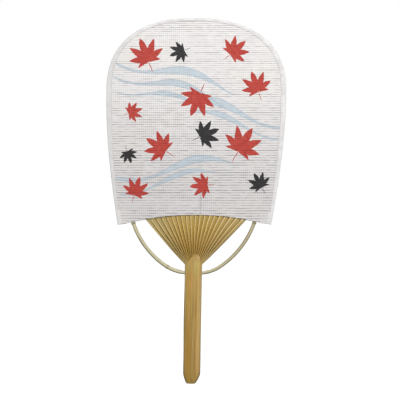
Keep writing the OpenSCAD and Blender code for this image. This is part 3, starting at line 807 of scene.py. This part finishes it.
def new_group(name, results, keys):
    """The nodes of a new group of plain numbers, with its given values and its results."""
    tree = bpy.data.node_groups.new(name, "ShaderNodeTree")
    for in_out, names in (("OUTPUT", results), ("INPUT", ("X", "Z") + keys)):
        for socket in names:
            tree.interface.new_socket(socket, in_out=in_out, socket_type="NodeSocketFloat")
    return Nodes(tree), tree.nodes.new("NodeGroupInput").outputs, tree.nodes.new("NodeGroupOutput").inputs


def leaf_group():
    """A node group that gives 1 inside a maple leaf and 0 outside."""
    n, given, result = new_group("maple_leaf", ("Mask",), LEAF_KEYS)
    dx, dz = n.minus(given["X"], given["Centre X"]), n.minus(given["Z"], given["Centre Z"])
    folded = n.math("PINGPONG", n.plus(n.math("ARCTAN2", dx, dz), given["Turn"]), pi)
    curve = n.add("ShaderNodeFloatCurve", Value=n.over(folded, pi))
    ends = curve.mapping.curves[0].points
    for k, (u, r) in enumerate(LEAF_OUTLINE):
        point = ends[k] if k < 2 else ends.new(u, r)
        point.location = (u, r)
        point.handle_type = "VECTOR"
    curve.mapping.update()
    radius = n.math("SQRT", n.plus(n.times(dx, dx), n.times(dz, dz)))
    n.put(result["Mask"], n.ramp(n.minus(n.times(curve.outputs[0], given["Size"]), radius), -0.25, 0.25))
    return n.tree


def stroke_group():
    """A node group that gives 1 inside a winding brush stroke and 0 outside, and how near its edge is."""
    n, given, result = new_group("stream_stroke", ("Mask", "Edge"), STROKE_KEYS)
    dx = n.minus(given["X"], given["Centre X"])
    share = n.over(dx, given["Reach"])
    wave = n.math("SINE", n.plus(n.over(dx, given["Wave"]), given["Shift"]))
    line = n.plus(n.times(share, given["Rise"]), n.times(wave, given["Swing"]))
    off = n.gap(n.minus(given["Z"], given["Centre Z"]), line)
    fade = n.math("SUBTRACT", 1, n.times(share, share), clamp=True)
    swell = n.math("SINE", n.plus(n.times(share, 4.2), given["Shift"]))
    width = n.times(n.math("SQRT", fade), n.plus(0.68, n.times(swell, 0.32)))
    inside = n.minus(n.times(width, given["Half Width"]), off)
    mask = n.ramp(inside, -0.6, 0.7)
    n.put(result["Mask"], mask)
    n.put(result["Edge"], n.times(mask, n.ramp(inside, 1.6, 0.4)))
    return n.tree


def marks(n, group, keys, rows, x, z):
    """The greatest of each of the group's results over all rows."""
    totals = None
    for row in rows:
        node = n.add("ShaderNodeGroup", {"node_tree": group}, X=x, Z=z)
        for key, value in zip(keys, row):
            node.inputs[key].default_value = radians(value) if key == "Turn" else value
        found = list(node.outputs)
        totals = found if totals is None else [n.greater(a, b) for a, b in zip(totals, found)]
    return totals


def add_print(n, colour, position, threads, dark, warp_lines):
    """The colour with the stream and the leaves printed over it."""
    x, _, z = n.split(position)
    shake = n.times(n.minus(n.noise(position, 0.9, 3), 0.5), 1.4)
    px, pz = n.plus(x, shake), n.minus(z, shake)
    blots = n.noise(position, 0.25, 4, 0.6)
    band, band_edge = marks(n, stroke_group(), STROKE_KEYS, STROKES, px, pz)
    blue = n.mix(band_edge, srgb(180, 193, 202), srgb(152, 169, 181))
    blue = n.mix(n.times(dark, 0.75), blue, srgb(128, 136, 144))
    colour = n.mix(n.times(band, n.ramp(blots, 0.3, 0.7, 0.65, 1)), colour, blue)
    ink_dark = n.times(n.greater(dark, n.times(warp_lines, 0.45)), 0.8)
    red = n.mix(n.ramp(blots, 0.35, 0.65), srgb(168, 52, 42), srgb(184, 66, 54))
    red = n.mix(ink_dark, red, srgb(126, 38, 36))
    black = n.mix(n.ramp(threads, 0.35, 0.7), srgb(24, 23, 25), srgb(42, 40, 42))
    black = n.mix(ink_dark, black, srgb(22, 21, 23))
    cover = n.ramp(threads, 0.75, 0.6, 0.75, 0.98)
    leaf = leaf_group()
    for rows, ink in ((RED_LEAVES, red), (BLACK_LEAVES, black)):
        colour = n.mix(n.times(marks(n, leaf, LEAF_KEYS, rows, px, pz)[0], cover), colour, ink)
    return colour


def make_cloth_material(name, printed, veil=0):
    """Open weave; veil whitens it as a strip pasted over it does, most of all along the attribute rim."""
    n = Material(name, 0.88, 0.2, 0.08)
    position = n.position()
    z = n.split(position)[2]
    weave = n.split(n.attribute("weave", "Vector"))
    broken = n.noise(position, (0.1, 1, 0.55), 4, 0.6)
    patches = n.noise(position, (0.03, 1, 0.022))
    threads = n.noise(position, (1.1, 1, 3.4), 2, 0.6)
    # Each weft thread has a thickness of its own
    own = n.add("ShaderNodeTexWhiteNoise", {"noise_dimensions": "1D"}, W=n.math("FLOOR", weave[2]))
    weft = n.times(weave_lines(n, weave[2], 0.08, 0.24), n.ramp(broken, 0.36, 0.62, 0.35, 1.1))
    weft = n.times(weft, n.ramp(own.outputs["Value"], 0, 1, 0.6, 1.25, "LINEAR"))
    weft = n.times(weft, n.ramp(z, 350, 200, 0.72, 1))
    warp_lines = weave_lines(n, weave[0], 0.06, 0.2)
    warp = n.times(warp_lines, n.ramp(patches, 0.44, 0.62, 0.06, 0.38))
    # Painted shade along the crease
    crease = n.times(n.attribute("crease"), 0.55)
    dark = n.math("MAXIMUM", weft, n.greater(warp, crease), clamp=True)
    pale = n.mix(n.ramp(patches, 0.35, 0.65), srgb(222, 219, 218), srgb(230, 228, 226))
    pale = n.tinted(pale, [
        (n.noise(position, 0.018), 0.45, 0.65, 0.5, (228, 225, 214)),
        (threads, 0.35, 0.7, 0.4, (206, 203, 204)),
    ])
    # Painted shade: the cloth darker towards the bottom
    pale = n.mix(n.ramp(z, 330, 160, 0.1, 0.6), pale, srgb(194, 190, 189))
    colour = n.mix(n.times(dark, 0.95), pale, srgb(136, 131, 135))
    if veil:
        colour = n.mix(n.ramp(n.attribute("rim"), 0, 1, veil, 0.9), colour, srgb(212, 210, 208))
    if printed:
        colour = add_print(n, colour, position, threads, dark, warp_lines)
    return n.paint(colour, n.minus(threads, n.times(dark, 0.6)), 0.00008)


# Pieces

def add_ribs():
    rng = np.random.default_rng(RNG_SEED)
    mat = make_rib_material()
    for i in RIBS:
        rings, grain, hem_l = rib_points(i, rng)
        verts, faces = tube(rings)
        u = grain[:, :, 0] - GRAIN_SHIFT * i
        across = u / np.abs(u).max(axis=1, keepdims=True) / 2 + 0.5
        flat = grain.reshape(-1, 3)
        place = points(np.clip(flat[:, 2] / hem_l, 0, 1), across.ravel(), (i - 1) / (RIB_COUNT - 1))
        tone = np.full(len(flat), rng.uniform(0, 1))
        make_piece(f"rib_{i:02d}_split", verts, faces, mat, f"rib_{i:02d}",
                   {"grain": flat, "place": place, "tone": tone})


def add_bow():
    rings, grain = bow_rings(count=260, sides=24)
    verts, faces = tube(rings)
    flat = grain.reshape(-1, 3)
    outer = 0.5 + flat[:, 0] / (2 * BOW_GRAIN_R)
    right = np.clip(flat[:, 2] / 90, 0, 1)
    from_knuckle = (flat[:, 2] / BOW_GRAIN + radians(KNUCKLE_A)) * BOW_MID_R
    knuckle = np.exp(-(from_knuckle / 1.6) ** 2)
    make_piece("bow_rod", verts, faces, make_bow_material(), "bow",
               {"grain": flat, "place": points(outer, right, knuckle)})


def add_thread():
    path = finer(thread_path(), step=0.3)
    rings, grain = thread_rings(path, THREAD_D / 2, sides=10, twist=4.5)
    verts, faces = tube(rings)
    make_piece("lacing_cord", verts, faces, make_thread_material(), "lacing_thread",
               {"grain": grain.reshape(-1, 3), "wound": smooth(70, 74, np.abs(verts[:, 0]))})


def add_handle():
    low = BUTT_Z + BUTT_TRIM
    heights = np.concatenate([
        low + np.array([0, 0.15, 0.4]), np.linspace(low + 0.9, BUTT_Z + BUTT_L, 22),
        np.linspace(BUTT_Z + BUTT_L, SPLIT_Z - 12, 70)[1:], np.linspace(SPLIT_Z - 12, SPLIT_Z - 0.01, 26)[1:],
        np.linspace(SPLIT_Z + 0.01, SPLIT_Z + TONGUE_H, 30),
    ])
    rings = np.array([handle_ring(z) for z in heights])
    for k, share in ((0, 0.9), (1, 0.96), (2, 0.985)):
        middle = rings[k].mean(axis=0)
        rings[k] = middle + (rings[k] - middle) * [share, share, 1]
    rng = np.random.default_rng(RNG_SEED)
    # Whittling leaves the end a little ragged
    rings[0][:, 2] += rng.uniform(0, 0.35, rings.shape[1])
    verts, faces = tube(rings)
    handle = make_piece("handle_shaved", verts, faces, make_handle_material(), "handle")
    # The hole for the bow, from side to side
    drill_mesh = bpy.data.meshes.new("drill")
    bm = bmesh.new()
    place = Matrix.Translation((0, HANDLE_Y * MM, HOLE_Z * MM)) @ Matrix.Rotation(pi / 2, 4, "Y")
    bmesh.ops.create_cone(bm, cap_ends=True, segments=48, radius1=HOLE_R * MM, radius2=HOLE_R * MM,
                          depth=0.06, matrix=place)
    bm.to_mesh(drill_mesh)
    bm.free()
    drill = new_object("drill", drill_mesh)
    cut = handle.modifiers.new("hole", "BOOLEAN")
    cut.operation = "DIFFERENCE"
    cut.solver = "EXACT"
    cut.object = drill
    drilled = bpy.data.meshes.new_from_object(handle.evaluated_get(bpy.context.evaluated_depsgraph_get()))
    handle.modifiers.clear()
    handle.data = drilled
    bpy.data.objects.remove(drill)
    handle.data.set_sharp_from_angle(angle=radians(40))


# Spacing of the weft low on the face, how it closes up per millimetre of height, and spacing of the warp
WEFT_PITCH, WEFT_CLOSING, WARP_PITCH = 3.24, 0.0028, 2.55
WEFT_FROM_Z, WEAVE_TILT = 160, 0.0162
CREASE_X, CREASE_TOP = 7.8, 172


def weave_phase(x, z):
    """How many warp threads lie left of each point and how many weft threads below it, a little aslant."""
    level = z - WEAVE_TILT * x + 0.35 * np.sin(x / 71 + 0.7) * np.sin(z / 58)
    level += 0.1 * np.sin(x / 19 + z / 31) + 0.05 * np.sin(x / 6.1 + z / 9)
    weft = -np.log(1 - WEFT_CLOSING * (level - WEFT_FROM_Z) / WEFT_PITCH) / WEFT_CLOSING
    warp = (x + WEAVE_TILT * z + 0.25 * np.sin(z / 27 + 1.1) + 0.12 * np.sin(z / 9.7 + x / 23)) / WARP_PITCH
    return warp, weft


def weave_at(verts):
    """The weave attribute of points on the cloth or over it."""
    warp, weft = weave_phase(verts[:, 0], verts[:, 2])
    return points(warp, 0, weft)


def rib_cover(x, z):
    """1 over a rib and 0 halfway between two of them."""
    nearest = np.full(np.shape(x), 99.0)
    for i in RIBS:
        root, direction = rib_root(i), rib_dir(i)
        across = np.abs((x - root[0]) * direction[1] - (z - root[1]) * direction[0])
        nearest = np.minimum(nearest, across)
    return smooth(5.5, 1.6, nearest)


CLOTH_ROWS, CLOTH_COLUMNS, CLOTH_EDGE_IN = 430, 120, 0.6
# Depth of the sag between ribs, of the groove along each weft line and of the crease
SAG, GROOVE, CREASE = 0.1, 0.07, 0.08


def add_cloth(name, side, mat, node):
    """One cloth; side is -1 in front and 1 behind."""
    top = TOP_Z - CLOTH_EDGE_IN - 0.15
    u = np.linspace(-1, 1, CLOTH_COLUMNS)[None, :]
    v = np.linspace(0, 1, CLOTH_ROWS)[:, None]
    z = FOOT_Z + v * (top - FOOT_Z) + 0 * u
    for _ in range(6):
        x = u * half_width(z, [CLOTH_EDGE_IN] * 3)
        z = hem_height(x) + v * (top - hem_height(x))
    weft = weave_phase(x, z)[1]
    groove = smooth(0.24, 0.07, np.abs(weft % 1 - 0.5))
    crease = smooth(1.1, 0.3, np.abs(x - CREASE_X - 0.15 * np.sin(z / 4)))
    crease *= smooth(CREASE_TOP, CREASE_TOP - 6, z) * (side < 0)
    inside = smooth(0, 4, half_width(z, BINDING_WIDTHS) - np.abs(x))
    sag = SAG * (1 - rib_cover(x, z)) * inside * smooth(0, 5, z - hem_height(x))
    y = side * (CLOTH_OUT - sag - GROOVE * groove - CREASE * crease)
    faces = grid_faces(CLOTH_ROWS, CLOTH_COLUMNS)
    rim = border(CLOTH_ROWS, CLOTH_COLUMNS)
    flat = points(x, y, z).reshape(-1, 3)
    inner = flat[rim]
    inner[:, 1] = side * CLOTH_IN
    first = len(flat)
    for k, at in enumerate(rim):
        after = (k + 1) % len(rim)
        faces.append((at, rim[after], first + after, first + k))
    faces.append(tuple(range(first, first + len(rim))))
    verts = np.concatenate([flat, inner])
    crease = np.append(crease.ravel(), crease.ravel()[rim])
    return make_piece(name, verts, faces, mat, node, {"weave": weave_at(verts), "crease": crease})


# The binding's section, as shares of its width from the rim and shares of its half thickness
BINDING_FRONT = [
    (1, 0.8), (0.985, 0.93), (0.94, 0.985), (0.7, 1), (0.4, 0.995), (0.2, 0.985), (0.1, 0.93),
    (0.045, 0.8), (0.012, 0.5), (0, 0.18),
]
OUTLINE_COUNT = 150


def add_binding():
    profile = BINDING_FRONT + [(w, -t) for w, t in BINDING_FRONT[::-1]]
    outer, inner, across = [], [], []
    for w, t in profile:
        line = outline(w, OUTLINE_COUNT)
        k = np.arange(len(line))
        uneven = 0.05 * np.sin(k / 7.3) + 0.035 * np.sin(k / 2.9 + 1)
        soft = (1 - abs(2 * w - 1) ** 3) * 0.5
        y = -t * BINDING_OUT * (1 + soft * uneven)
        outer.append(points(line[:, 0], y, line[:, 1]))
        core = outline(max(w, 0.09), OUTLINE_COUNT)
        inner.append(points(core[:, 0], -np.clip(t * BINDING_OUT, -CLOTH_OUT, CLOTH_OUT), core[:, 1]))
        across.append(np.full(len(line), w))
    verts, faces = shell(np.array(outer), np.array(inner))
    across = np.tile(np.ravel(across), 2)
    return make_piece("rim_binding_strip", verts, faces, make_strip_material(), "rim_binding",
                      {"across": across, "weave": weave_at(verts)})


# An ear's section in the same way, from its inner edge to the rim
EAR_FRONT = [
    (0, 0.8), (0.01, 0.96), (0.06, 1), (0.25, 1), (0.45, 1), (0.62, 1), (0.72, 1), (0.82, 1), (0.92, 1),
    (0.965, 0.96), (0.985, 0.82), (0.997, 0.5), (1, 0.15),
]
# The rows below the hem close the fold there: share of the thickness, and drop
EAR_CLOSING = [(0, 0.34), (0.55, 0.24), (0.86, 0.1)]
EAR_ROWS = 26


def add_ear(side, mat, node):
    """The patch folded over a lower corner; side is 1 on the right."""
    inner_x = FOOT_W / 2 - EAR_W
    top = FOOT_Z + EAR_H
    profile = EAR_FRONT + [(w, -t) for w, t in EAR_FRONT[::-1]]
    outer, inner = [], []
    for w, t in profile:
        line_o, line_i = [], []
        for j in range(-3, EAR_ROWS):
            v = max(j, 0) / (EAR_ROWS - 1)
            thick, drop = EAR_CLOSING[j] if j < 0 else (1, 0)
            z = FOOT_Z
            for _ in range(4):
                edge = half_width(z) + EAR_T
                x = inner_x + (edge - inner_x) * w
                hem = hem_height(side * min(x, FOOT_W / 2 + 2))
                z = hem * (1 - v) + top * v - (EAR_T + 0.02) * (1 - v)
            rim = smooth(BINDING_FOOT_W + 1.2, BINDING_FOOT_W - 0.3, edge - EAR_T - x)
            soft = 0.03 * sin(x / 2.1) * sin(z / 2.7 + 1)
            level = CLOTH_OUT + EAR_T + BINDING_T * rim + soft * (0.05 < w < 0.95)
            if j == EAR_ROWS - 1:
                level -= 0.22
            line_o.append([side * x, -t * level * thick, z - drop])
            x_in = min(x, edge - EAR_T - 0.02)
            under = CLOTH_OUT + BINDING_T * rim
            y_in = -max(-under, min(under, t * level)) * thick
            line_i.append([side * x_in, y_in, max(z, hem) if j <= 0 else z])
        outer.append(line_o)
        inner.append(line_i)
    verts, faces = shell(np.array(outer), np.array(inner))
    rim = smooth(BINDING_FOOT_W + 2.4, BINDING_FOOT_W + 0.6, half_width(verts[:, 2]) - np.abs(verts[:, 0]))
    return make_piece(node + "_patch", verts, faces, mat, node,
                      {"weave": weave_at(verts), "rim": rim}, weld=0.002)


def add_object():
    add_ribs()
    add_bow()
    add_thread()
    add_handle()
    front = add_cloth("front_cloth_woven", -1, make_cloth_material("printed_weave", True), "front_cloth")
    back = add_cloth("back_cloth_woven", 1, make_cloth_material("plain_weave", False), "back_cloth")
    binding = add_binding()
    patch = make_cloth_material("pasted_patch", False, 0.3)
    ears = [add_ear(-1, patch, "left_ear"), add_ear(1, patch, "right_ear")]


# Camera, stage and lights

def add_camera():
    data = bpy.data.cameras.new("camera")
    data.lens = CAMERA_LENS
    data.sensor_width = CAMERA_SENSOR
    cam = new_object("camera", data)
    c, s = cos(CAMERA_ROLL), sin(CAMERA_ROLL)
    turn = Matrix(((c, -s, 0, 0), (0, 0, -1, 0), (s, c, 0, 0), (0, 0, 0, 1)))
    cam.matrix_world = Matrix.Translation(Vector(CAMERA_AT) - Vector((0, CAMERA_BACK, 0))) @ turn
    bpy.context.scene.camera = cam
    bpy.context.scene.view_settings.view_transform = "Standard"


def seen_ray(n):
    """1 for rays from the camera and for those that show the stage in gloss or glass."""
    path = n.add("ShaderNodeLightPath").outputs
    shown = n.greater(path["Is Glossy Ray"], path["Is Transmission Ray"])
    return n.greater(path["Is Camera Ray"], shown)


def add_stage():
    world = bpy.data.worlds.new("studio")
    bpy.context.scene.world = world
    world.use_nodes = True
    n = Nodes(world.node_tree)
    background = world.node_tree.nodes["Background"].inputs
    n.put(background["Color"], (1, 1, 1, 1))
    n.put(background["Strength"], n.ramp(seen_ray(n), 0, 1, 0.43, 1, "LINEAR"))

    m = bpy.data.materials.new("pale_floor")
    m.use_nodes = True
    n = Nodes(m.node_tree)
    m.node_tree.nodes.remove(m.node_tree.nodes["Principled BSDF"])
    diffuse = n.add("ShaderNodeBsdfDiffuse", Color=(0.35, 0.35, 0.35, 1)).outputs[0]
    glow = n.add("ShaderNodeEmission", Strength=n.times(seen_ray(n), 0.88)).outputs[0]
    both = n.fill("ShaderNodeAddShader", None, (diffuse, glow))
    n.put(m.node_tree.nodes["Material Output"].inputs["Surface"], both)
    size, z = 12, (BUTT_Z - 0.15) * MM
    mesh = bpy.data.meshes.new("floor")
    corners = [(-size, -size, z), (size, -size, z), (size, size, z), (-size, size, z)]
    mesh.from_pydata(corners, [], [(0, 1, 2, 3)])
    mesh.materials.append(m)
    new_object("floor", mesh)


def add_lamp(name, place, at, size, power):
    data = bpy.data.lights.new(name, "AREA")
    data.shape = "DISK"
    data.size = size
    data.energy = power
    lamp = new_object(name, data)
    lamp.location = place
    lamp.rotation_euler = (Vector(at) - Vector(place)).to_track_quat("-Z", "Y").to_euler()


add_camera()
add_stage()
add_lamp("key", (0.3, -1.1, 1.02), (0.06, 0, 0.33), 0.6, 17)
add_lamp("fill", (-0.5, -2.2, 0.3), (0, 0, 0.15), 1.2, 8)
add_lamp("rear", (-0.6, 1.6, 1.2), (0, 0, 0.15), 1, 20)
add_object()
